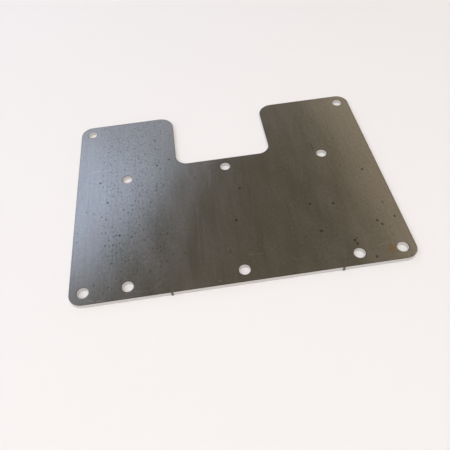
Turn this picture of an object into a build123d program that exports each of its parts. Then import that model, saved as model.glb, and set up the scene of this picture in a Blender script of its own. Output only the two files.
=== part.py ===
"""Flat sheet-steel cover plate with a notched back edge and ten fixing holes."""

import os

from build123d import *

# All sizes are in millimetres. The origin is the centre of the plate's underside,
# +X runs along its width, +Y towards the notched back edge and +Z up out of the sheet.
plate_width = 150.0
plate_depth = 114.0
plate_thickness = 2.0
corner_radius = 6.0

notch_width = 49.0
notch_depth = 38.5
notch_mouth_radius = 7.5
notch_root_radius = 6.0

hole_diameter = 5.0
hole_inset = 6.0  # from a hole's centre to the edge beside it
inner_hole_spacing = 100.0  # across the width, between the two inner columns

# Stubs left on the front edge where the tabs that held the blank were broken off.
nub_width = 1.0
nub_reach = 0.3
left_nub_x = -31.5
right_nub_x = 41.5

front_edge_y = -plate_depth / 2
back_edge_y = plate_depth / 2
notch_floor_y = back_edge_y - notch_depth

front_row_y = front_edge_y + hole_inset
middle_row_y = notch_floor_y - hole_inset
outer_columns = plate_width - 2 * hole_inset
outer_rows = plate_depth - 2 * hole_inset
inner_rows = middle_row_y - front_row_y
inner_centre_y = (front_row_y + middle_row_y) / 2

with BuildPart() as cover_plate:
    # The sheet, with the notch cut into the middle of its back edge.
    with BuildSketch(Plane.XY) as outline:
        Rectangle(plate_width, plate_depth)
        with Locations((0, back_edge_y)):
            Rectangle(notch_width, 2 * notch_depth, mode=Mode.SUBTRACT)
        notch_roots = outline.vertices().group_by(Axis.Y)[1]
        fillet(notch_roots, radius=notch_root_radius)
        notch_mouth = outline.vertices().group_by(Axis.Y)[-1].sort_by(Axis.X)[1:3]
        fillet(notch_mouth, radius=notch_mouth_radius)
        left_corners = outline.vertices().group_by(Axis.X)[0]
        right_corners = outline.vertices().group_by(Axis.X)[-1]
        fillet(left_corners + right_corners, radius=corner_radius)
    extrude(amount=plate_thickness)

    # Broken-off tab stubs, through the full thickness of the front edge.
    with BuildSketch(Plane.XY):
        with Locations((left_nub_x, front_edge_y), (right_nub_x, front_edge_y)):
            Rectangle(nub_width, 2 * nub_reach)
    extrude(amount=plate_thickness)

    # One hole in each outer corner, and two rows of three in front of the notch.
    with BuildSketch(Plane.XY):
        with GridLocations(outer_columns, outer_rows, 2, 2):
            Circle(hole_diameter / 2)
        with Locations((0, inner_centre_y)):
            with GridLocations(inner_hole_spacing / 2, inner_rows, 3, 2):
                Circle(hole_diameter / 2)
    extrude(amount=plate_thickness, mode=Mode.SUBTRACT)

cover_plate.part.label = "cover_plate"

os.makedirs("parts", exist_ok=True)
export_step(cover_plate.part, "parts/cover_plate.step")
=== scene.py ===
"""Looks of the notched cover plate: bare rolled sheet steel with laser-cut edges, on a pale floor."""

import math

import bmesh
import bpy
from mathutils import Euler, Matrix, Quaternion, Vector


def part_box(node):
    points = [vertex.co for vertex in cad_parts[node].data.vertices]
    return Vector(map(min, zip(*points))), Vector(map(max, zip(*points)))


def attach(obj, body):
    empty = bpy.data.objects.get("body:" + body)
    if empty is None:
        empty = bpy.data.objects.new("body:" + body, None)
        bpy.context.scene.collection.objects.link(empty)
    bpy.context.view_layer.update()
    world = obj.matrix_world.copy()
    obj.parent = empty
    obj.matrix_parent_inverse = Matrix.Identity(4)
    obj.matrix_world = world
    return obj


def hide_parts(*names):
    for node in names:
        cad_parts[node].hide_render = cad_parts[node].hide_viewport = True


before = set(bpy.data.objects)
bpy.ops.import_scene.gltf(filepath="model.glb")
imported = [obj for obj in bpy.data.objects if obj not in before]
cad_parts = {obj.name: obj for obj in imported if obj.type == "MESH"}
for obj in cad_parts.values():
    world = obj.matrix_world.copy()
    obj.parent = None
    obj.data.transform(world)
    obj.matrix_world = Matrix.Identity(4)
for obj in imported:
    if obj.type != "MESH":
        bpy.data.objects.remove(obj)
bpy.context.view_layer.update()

MM = 0.001

plate_low, plate_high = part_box("cover_plate")
plate_top = plate_high.z

# ---------------------------------------------------------------- the plate's mesh

RIM_ROUNDING = 0.07 * MM  # how far the cut has softened each rim
TINT_WIDTH = 0.45 * MM  # the band beside each rim that the cut's heat has darkened
UPRIGHT = math.radians(45)  # a steeper face is a cut edge, not a rolled face
NUB_DEPTH = 0.25 * MM  # a little less than the tab stubs reach past the front edge

FACE, EDGE, NUB = range(3)  # material slots of the plate


def make_plate():
    """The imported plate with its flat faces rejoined, its rims softened and a slot for each finish.

    The vertex attribute "rim" is 1 along the cut rims and 0 where their heat tint ends.
    """
    bm = bmesh.new()
    bm.from_mesh(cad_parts["cover_plate"].data)
    bmesh.ops.remove_doubles(bm, verts=bm.verts, dist=0.001 * MM)
    bmesh.ops.dissolve_limit(bm, angle_limit=math.radians(1), verts=bm.verts, edges=bm.edges)
    rim = bm.verts.layers.float.new("rim")
    for vert in bm.verts:
        vert[rim] = 1.0
    for side in (1, -1):
        sheet_side = [f for f in bm.faces if f.normal.z * side > math.cos(UPRIGHT)]
        bmesh.ops.inset_region(
            bm, faces=sheet_side, thickness=TINT_WIDTH, use_boundary=True, use_even_offset=True
        )
        for vert in {v for face in sheet_side for v in face.verts}:
            vert[rim] = 0.0
    stub_line = plate_low.y + NUB_DEPTH
    for face in bm.faces:
        on_stub = face.calc_center_median().y < stub_line
        rolled = abs(face.normal.z) > math.cos(UPRIGHT)
        face.material_index = NUB if on_stub else FACE if rolled else EDGE
        face.smooth = True
    mesh = bpy.data.meshes.new("plate_skin")
    bm.to_mesh(mesh)
    bm.free()
    plate = bpy.data.objects.new("plate_skin", mesh)
    bpy.context.scene.collection.objects.link(plate)
    softened = plate.modifiers.new("softened_rim", "BEVEL")
    softened.width = RIM_ROUNDING
    softened.segments = 2
    softened.limit_method = "ANGLE"
    softened.angle_limit = math.radians(50)
    flat_shading = plate.modifiers.new("flat_faces", "WEIGHTED_NORMAL")
    flat_shading.mode = "FACE_AREA"
    flat_shading.weight = 100
    return plate


plate = make_plate()
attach(plate, "root")
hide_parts("cover_plate")


# ---------------------------------------------------------------- materials


class Finish:
    """A material with short spellings for the nodes that its finish needs."""

    def __init__(self, name):
        self.material = bpy.data.materials.new(name)
        self.material.use_nodes = True
        self.tree = self.material.node_tree
        self.shader = self.tree.nodes["Principled BSDF"]
        place = self.tree.nodes.new("ShaderNodeTexCoord").outputs["Object"]
        self.mm = self.vector("SCALE", place, Scale=1 / MM)

    def add(self, kind, inputs=(), **settings):
        """A node with its settings, and its inputs linked or set by name or number."""
        node = self.tree.nodes.new("ShaderNode" + kind)
        for key, value in settings.items():
            setattr(node, key, value)
        for key, value in dict(inputs).items():
            self.put(node.inputs[key], value)
        return node

    def put(self, socket, value):
        """Links a socket to another, or sets its value."""
        if isinstance(value, bpy.types.NodeSocket):
            self.tree.links.new(value, socket)
        else:
            socket.default_value = value

    def vector(self, operation, *values, **inputs):
        node = self.add("VectorMath", {**dict(enumerate(values)), **inputs}, operation=operation)
        one_number = operation in ("DISTANCE", "DOT_PRODUCT", "LENGTH")
        return node.outputs["Value" if one_number else "Vector"]

    def math(self, operation, *values, clamp=False):
        return self.add("Math", enumerate(values), operation=operation, use_clamp=clamp).outputs[0]

    def parts(self, vector):
        """The X, Y and Z of a vector."""
        return self.add("SeparateXYZ", {0: vector}).outputs

    def mm_flat(self):
        """The place on the sheet in millimetres, whichever side it is on."""
        return self.vector("MULTIPLY", self.mm, (1, 1, 0))

    def remap(self, value, low, high, new_low=0.0, new_high=1.0):
        """The range low to high, eased at both ends and held there, stretched to the new range."""
        inputs = {"Value": value, "From Min": low, "From Max": high}
        inputs.update({"To Min": new_low, "To Max": new_high})
        return self.add("MapRange", inputs, interpolation_type="SMOOTHSTEP").outputs["Result"]

    def noise(self, place, size, detail=2.0):
        """Noise whose lumps measure size millimetres along X, Y and Z, from 0 to 1."""
        inputs = {"Vector": self.vector("DIVIDE", place, size), "Scale": 1.0, "Detail": detail}
        return self.add("TexNoise", inputs).outputs["Fac"]

    def tint(self, factor, under, over):
        """One colour laid over another, by a factor from 0 to 1."""
        node = self.add("Mix", {"Factor": factor}, data_type="RGBA")
        under_socket, over_socket = [s for s in node.inputs if s.type == "RGBA"]
        self.put(under_socket, under)
        self.put(over_socket, over)
        return next(s for s in node.outputs if s.type == "RGBA")

    def bump(self, height):
        """The surface raised by height, in millimetres."""
        node = self.add("Bump", {"Height": height, "Distance": MM})
        self.put(self.shader.inputs["Normal"], node.outputs["Normal"])


# Marks on the upper face, in millimetres from the plate's centre.
SPECK_RADIUS = 0.85
SPECKS = (
    (36.0, -20.0), (46.5, -21.5), (37.0, -36.5), (63.0, -35.0), (64.5, -37.5), (71.5, -34.0),
    (50.0, -44.0), (50.5, -46.0), (56.5, -54.0), (66.5, -2.5), (0.5, -23.5), (5.0, -4.0),
    (-53.5, -23.0), (-28.0, 23.0), (-35.0, 39.5), (-34.5, 20.0), (-63.5, 12.5), (-59.5, -1.5),
)
# Each scratch: one end, the other end, half its width, and how strong it is from 0 to 1.
SCRATCHES = (
    ((-68.0, 21.5), (-59.0, 21.0), 0.45, 0.13),
    ((-39.5, -54.0), (-33.5, -49.5), 0.45, 0.12),
    ((-47.0, -54.0), (-41.5, -54.8), 0.45, 0.14),
    ((-66.5, -55.0), (-64.5, -56.0), 0.5, 0.25),
    ((-63.0, -56.0), (-61.0, -56.2), 0.5, 0.25),
    ((-11.3, -54.6), (-10.8, -54.8), 0.6, 0.3),
    ((-9.0, -55.2), (-6.5, -55.0), 0.4, 0.15),
    ((-8.0, 9.0), (-8.0, 12.0), 0.5, 0.06),
    ((-17.0, -55.0), (-14.0, -55.2), 0.4, 0.1),
    ((-17.0, -13.0), (-18.5, -47.0), 0.5, 0.08),
    ((-15.0, -19.5), (-14.5, -44.5), 0.4, 0.06),
    ((-8.5, 11.0), (-10.5, -12.0), 0.4, 0.06),
    ((3.0, -43.8), (9.0, -44.0), 0.45, 0.12),
    ((6.5, -37.5), (9.5, -39.5), 0.45, 0.1),
    ((59.0, -48.8), (64.0, -47.0), 0.4, 0.12),
    ((21.0, -49.0), (27.0, -49.5), 0.8, 0.06),
)
# Dark smears by the middle right-hand hole, set out like the scratches.
SMEARS = (
    ((46.2, 20.5), (46.6, 15.5), 0.7, 0.25),
    ((53.6, 8.5), (53.0, 4.5), 0.5, 0.15),
    ((47.5, 11.0), (49.0, 9.6), 0.6, 0.25),
)
STAIN_PLACE = (64.8, -51.0, 0)  # rust beside the right-hand front hole
STAIN_RADIUS = 3.2


def spots(f, place, centres, radius):
    """1 in the middle of each spot, falling to 0 at its radius."""
    spot = 0.0
    for x, y in centres:
        away = f.vector("DISTANCE", place, (x, y, 0))
        spot = f.math("MAXIMUM", spot, f.remap(away, radius, 0.3 * radius))
    return spot


def strokes(f, place, marks):
    """How strong the scratches or smears are at each place."""
    strength = 0.0
    for start, end, half_width, full_strength in marks:
        start, run = Vector((*start, 0)), Vector((*end, 0)) - Vector((*start, 0))
        from_start = f.vector("SUBTRACT", place, start)
        along = f.vector("DOT_PRODUCT", from_start, run / run.length_squared)
        along = f.math("ADD", along, 0.0, clamp=True)
        nearest = f.vector("SCALE", run, Scale=along)
        away = f.vector("DISTANCE", from_start, nearest)
        stroke = f.remap(away, half_width, 0.2 * half_width, 0.0, full_strength)
        strength = f.math("ADD", strength, stroke)
    return strength


PIT_CELL = (1.8, 2.5, 1.0)  # at most one pit in each patch of about this size
PIT_AND_SHADE_BAND_MIDDLE = -47.0  # the pits crowd in a band along the rolling direction, where the sheet's mirrored highlight falls off; the grain and pits there are painted darker as painted shade
PIT_AND_SHADE_BAND_HALF_WIDTH = 21.0


def pits(f, sheet, pit_and_shade_band):
    """Rolled-in pits: 1 at the middle of each, 0 outside. They crowd where the band given is 1: the
    band where the sheet's mirrored highlight falls off, so the painted shade in them gathers there.
    """
    cells = f.add("TexVoronoi", {"Vector": f.vector("DIVIDE", sheet, PIT_CELL), "Scale": 1.0},
                  voronoi_dimensions="2D")
    chance, size, _ = f.add("SeparateColor", {0: cells.outputs["Color"]}).outputs
    crowd = f.remap(pit_and_shade_band, 0.0, 1.0, 0.03, 0.6)
    patches = f.noise(sheet, (9.0, 14.0, 1.0))
    crowd = f.math("MULTIPLY", crowd, f.remap(patches, 0.35, 0.6, 0.35, 1.0))
    present = f.math("LESS_THAN", chance, crowd)
    radius = f.remap(size, 0.0, 1.0, 0.12, 0.4)
    pit = f.remap(cells.outputs["Distance"], radius, 0.0)
    return f.math("MULTIPLY", pit, present)


STEEL = ((0.3, 0.295, 0.276, 1), (0.32, 0.305, 0.29, 1))  # the sheet's two tones
BLACK = (0, 0, 0, 1)
# Dark dirt of the specks and smears, and the painted shade in the pits.
DIRT_AND_PIT_SHADE = (0.03, 0.027, 0.022, 1)
FRESH_METAL = (0.7, 0.69, 0.68, 1)
RUST = (0.3, 0.19, 0.09, 1)
HEAT_TINT = (0.13, 0.085, 0.055, 1)

# How far each texture rises from the sheet or sinks into it, in millimetres.
LINE_HEIGHT = 0.0006
GRAIN_HEIGHT = 0.006
PIT_DEPTH = 0.02
SPECK_DEPTH = 0.012


def rolled_steel():
    """Bare rolled sheet: faint lines along the rolling direction, fine grain, pits and old marks,
    with painted shade in the pits and, where the mirrored highlight falls off, in the grain.
    """
    f = Finish("rolled_steel")
    x, y, z = f.parts(f.mm)
    # The two sides of the sheet read the patterns at places far apart.
    sheet = f.add("CombineXYZ", {0: f.math("MULTIPLY_ADD", z, 60.0, x), 1: y}).outputs[0]
    upper = f.math("GREATER_THAN", z, plate_top / MM / 2)

    fine_lines = f.noise(sheet, (0.9, 9.0, 1.0))
    broad_lines = f.noise(sheet, (2.2, 60.0, 1.0))
    clouds = f.noise(sheet, (9.0, 26.0, 1.0))
    grain = f.noise(sheet, (1.1, 1.5, 1.0))
    # The band where the sheet's mirrored highlight falls off: pits crowd in it, and it darkens the
    # grain and the pits as painted shade.
    off_middle = f.math("ABSOLUTE", f.math("SUBTRACT", x, PIT_AND_SHADE_BAND_MIDDLE))
    pit_and_shade_band = f.remap(off_middle, PIT_AND_SHADE_BAND_HALF_WIDTH, 0.5 * PIT_AND_SHADE_BAND_HALF_WIDTH)
    pit = pits(f, sheet, pit_and_shade_band)
    speck = f.math("MULTIPLY", spots(f, f.mm_flat(), SPECKS, SPECK_RADIUS), upper)
    scratch = f.math("MULTIPLY", strokes(f, f.mm_flat(), SCRATCHES), upper)
    smear = f.math("MULTIPLY", strokes(f, f.mm_flat(), SMEARS), upper)
    stain = f.remap(f.vector("DISTANCE", f.mm_flat(), STAIN_PLACE), STAIN_RADIUS, 0.4, 0.0, 0.6)
    stain = f.math("MULTIPLY", stain, upper)

    tone = f.tint(f.remap(clouds, 0.25, 0.75), *STEEL)
    tone = f.tint(f.remap(fine_lines, 0.3, 0.7, 0.06, 0.0), tone, BLACK)
    tone = f.tint(f.remap(broad_lines, 0.3, 0.7, 0.05, 0.0), tone, BLACK)
    # Grain darkens the tone a little everywhere and more in the band where the mirrored highlight
    # falls off: part real grain, part painted shade.
    grain_and_band_shade = f.remap(grain, 0.3, 0.7, 1.0, 0.0)
    grain_and_band_shade = f.math("MULTIPLY", grain_and_band_shade, f.remap(pit_and_shade_band, 0.0, 1.0, 0.1, 0.16))
    tone = f.tint(grain_and_band_shade, tone, BLACK)
    # Specks and smears are dark dirt; the darkening in each pit is painted shade.
    dirt_and_pit_shade = f.math("MAXIMUM", f.math("MULTIPLY", pit, 0.5), f.math("MULTIPLY", speck, 0.8))
    dirt_and_pit_shade = f.math("MAXIMUM", dirt_and_pit_shade, smear)
    tone = f.tint(dirt_and_pit_shade, tone, DIRT_AND_PIT_SHADE)
    tone = f.tint(scratch, tone, FRESH_METAL)
    tone = f.tint(stain, tone, RUST)
    rim = f.add("Attribute", attribute_name="rim").outputs["Fac"]
    tone = f.tint(f.remap(rim, 0.0, 0.9, 0.0, 0.75), tone, HEAT_TINT)
    f.put(f.shader.inputs["Base Color"], tone)
    f.put(f.shader.inputs["Metallic"], 1.0)
    f.put(f.shader.inputs["Roughness"], f.remap(clouds, 0.3, 0.7, 0.2, 0.24))

    height = f.math("MULTIPLY", fine_lines, LINE_HEIGHT)
    height = f.math("MULTIPLY_ADD", grain, GRAIN_HEIGHT, height)
    height = f.math("MULTIPLY_ADD", pit, -PIT_DEPTH, height)
    height = f.math("MULTIPLY_ADD", speck, -SPECK_DEPTH, height)
    f.bump(height)
    return f.material


def cut_edge():
    """Laser-cut edge: brighter clean steel with upright drag lines."""
    f = Finish("cut_edge")
    drag = f.noise(f.mm, (0.3, 0.3, 9.0))
    tone = f.tint(drag, (0.55, 0.545, 0.54, 1), (0.76, 0.755, 0.745, 1))
    f.put(f.shader.inputs["Base Color"], tone)
    f.put(f.shader.inputs["Metallic"], 1.0)
    f.put(f.shader.inputs["Roughness"], 0.38)
    f.bump(f.math("MULTIPLY", drag, 0.02))
    return f.material


def torn_nub():
    """Dark, rough torn metal on the tab stubs."""
    f = Finish("torn_nub")
    torn = f.noise(f.mm, (0.25, 0.25, 0.25), detail=3.0)
    tone = f.tint(torn, (0.07, 0.07, 0.07, 1), (0.24, 0.23, 0.22, 1))
    f.put(f.shader.inputs["Base Color"], tone)
    f.put(f.shader.inputs["Metallic"], 0.6)
    f.put(f.shader.inputs["Roughness"], 0.6)
    f.bump(f.math("MULTIPLY", torn, 0.08))
    return f.material


for finish in (rolled_steel(), cut_edge(), torn_nub()):
    plate.data.materials.append(finish)

# ---------------------------------------------------------------- floor and backdrop

FLOOR_RADIUS = 0.9
FLOOR_SEGMENTS = 96
FLOOR_COLOUR = (0.87, 0.86, 0.88, 1)
BACKDROP_HEIGHT = 0.42  # low enough that the sheet mirrors the room above it towards the camera
BACKDROP_COLOUR = (0.9, 0.87, 0.86, 1)


def studio_paint(name):
    """The matt paint of the floor and the backdrop."""
    paint = Finish(name)
    paint.put(paint.shader.inputs["Base Color"], FLOOR_COLOUR)
    paint.put(paint.shader.inputs["Roughness"], 0.9)
    paint.put(paint.shader.inputs["Specular IOR Level"], 0.1)
    return paint


def backdrop_paint():
    """Paint that the camera, and metal or glass, see in the backdrop colour whatever lights it."""
    paint = studio_paint("backdrop_paint")
    rays = paint.add("LightPath").outputs
    seen = paint.math("MAXIMUM", rays["Is Camera Ray"], rays["Is Glossy Ray"])
    seen = paint.math("MAXIMUM", seen, rays["Is Transmission Ray"])
    plain = paint.add("Emission", {"Color": BACKDROP_COLOUR}).outputs[0]
    either = paint.add("MixShader", {0: seen, 1: paint.shader.outputs[0], 2: plain}).outputs[0]
    paint.put(paint.tree.nodes["Material Output"].inputs["Surface"], either)
    paint.material.cycles.emission_sampling = "NONE"  # the backdrop isn't a lamp
    return paint


def stage_piece(name, bm, paint):
    """A floor or backdrop, which isn't part of the object."""
    mesh = bpy.data.meshes.new(name)
    bm.to_mesh(mesh)
    bm.free()
    mesh.materials.append(paint.material)
    piece = bpy.data.objects.new(name, mesh)
    bpy.context.scene.collection.objects.link(piece)


def make_floor():
    """A round pale floor."""
    bm = bmesh.new()
    bmesh.ops.create_circle(bm, cap_ends=True, segments=FLOOR_SEGMENTS, radius=FLOOR_RADIUS)
    stage_piece("floor", bm, studio_paint("floor_paint"))


def make_backdrop():
    """A low wall round the floor."""
    bm = bmesh.new()
    bmesh.ops.create_cone(
        bm,
        segments=FLOOR_SEGMENTS,
        radius1=FLOOR_RADIUS,
        radius2=FLOOR_RADIUS,
        depth=BACKDROP_HEIGHT,
    )
    bmesh.ops.translate(bm, verts=bm.verts, vec=(0, 0, BACKDROP_HEIGHT / 2))
    stage_piece("backdrop", bm, backdrop_paint())


make_floor()
make_backdrop()

# ---------------------------------------------------------------- lights

# Name, centre, size, turn in degrees, radiance and colour. The ceiling panel lights the floor, and
# the sheet mirrors the others, which hang behind it, towards the camera. The inner left panel hangs
# a little below the left one that it overlaps, because light is lost where two share a plane.
PANELS = (
    ("ceiling_panel", (-0.6, -0.65, 1.0), (2.6, 1.8), 0.0, 1.41, (1.0, 0.99, 0.985)),
    ("left_panel", (-0.598, 0.882, 0.70), (1.2, 1.0), 52.8, 1.06, (0.645, 0.76, 1.0)),
    ("left_inner_panel", (-0.439, 0.761, 0.69), (0.34, 0.6), 52.8, 0.95, (0.535, 0.685, 1.0)),
    ("right_panel", (0.76, 0.9, 0.70), (0.8, 1.7), 3.0, 0.56, (1.0, 0.82, 0.63)),
    ("back_panel", (0.2, 1.15, 0.72), (0.5, 0.6), 0.0, 0.08, (1.0, 1.0, 1.0)),
)
ROOM_COLOUR = (0.252, 0.217, 0.153, 1)


def panel(name, centre, size, turn, radiance, colour):
    """A rectangular light that faces straight down, as bright all over as radiance says."""
    lamp = bpy.data.lights.new(name, "AREA")
    lamp.shape = "RECTANGLE"
    lamp.size, lamp.size_y = size
    lamp.color = colour
    lamp.energy = radiance * math.pi * size[0] * size[1]
    hung = bpy.data.objects.new(name, lamp)
    bpy.context.scene.collection.objects.link(hung)
    hung.location = centre
    hung.rotation_euler = (0, 0, math.radians(turn))
    hung.visible_camera = False


def make_room():
    """The dim room above the backdrop."""
    room = bpy.data.worlds.new("room")
    bpy.context.scene.world = room
    room.use_nodes = True
    room.node_tree.nodes["Background"].inputs["Color"].default_value = ROOM_COLOUR


for settings in PANELS:
    panel(*settings)
make_room()

# ---------------------------------------------------------------- camera

CAMERA_AIM = Vector((-5.1 * MM, -25.4 * MM, plate_top))
CAMERA_DISTANCE = 216.2 * MM
CAMERA_HEADING = math.radians(-3.38)  # anticlockwise from +Y, as seen from above
CAMERA_ELEVATION = math.radians(51.32)  # above the level of the plate, looking down at it
CAMERA_ROLL = math.radians(-5.42)
CAMERA_LENS = 37.68  # millimetres
CAMERA_SENSOR = 36  # millimetres


def make_camera():
    """The camera at the photo's viewing angle."""
    camera = bpy.data.objects.new("camera", bpy.data.cameras.new("camera"))
    bpy.context.scene.collection.objects.link(camera)
    bpy.context.scene.camera = camera
    camera.data.sensor_width = CAMERA_SENSOR
    camera.data.lens = CAMERA_LENS
    camera.data.clip_start = 0.01
    camera.rotation_mode = "QUATERNION"
    level = Euler((math.pi / 2 - CAMERA_ELEVATION, 0, CAMERA_HEADING)).to_quaternion()
    camera.rotation_quaternion = level @ Quaternion((0, 0, 1), CAMERA_ROLL)
    camera.location = CAMERA_AIM + camera.rotation_quaternion @ Vector((0, 0, CAMERA_DISTANCE))


make_camera()
bpy.context.scene.view_settings.view_transform = "Standard"
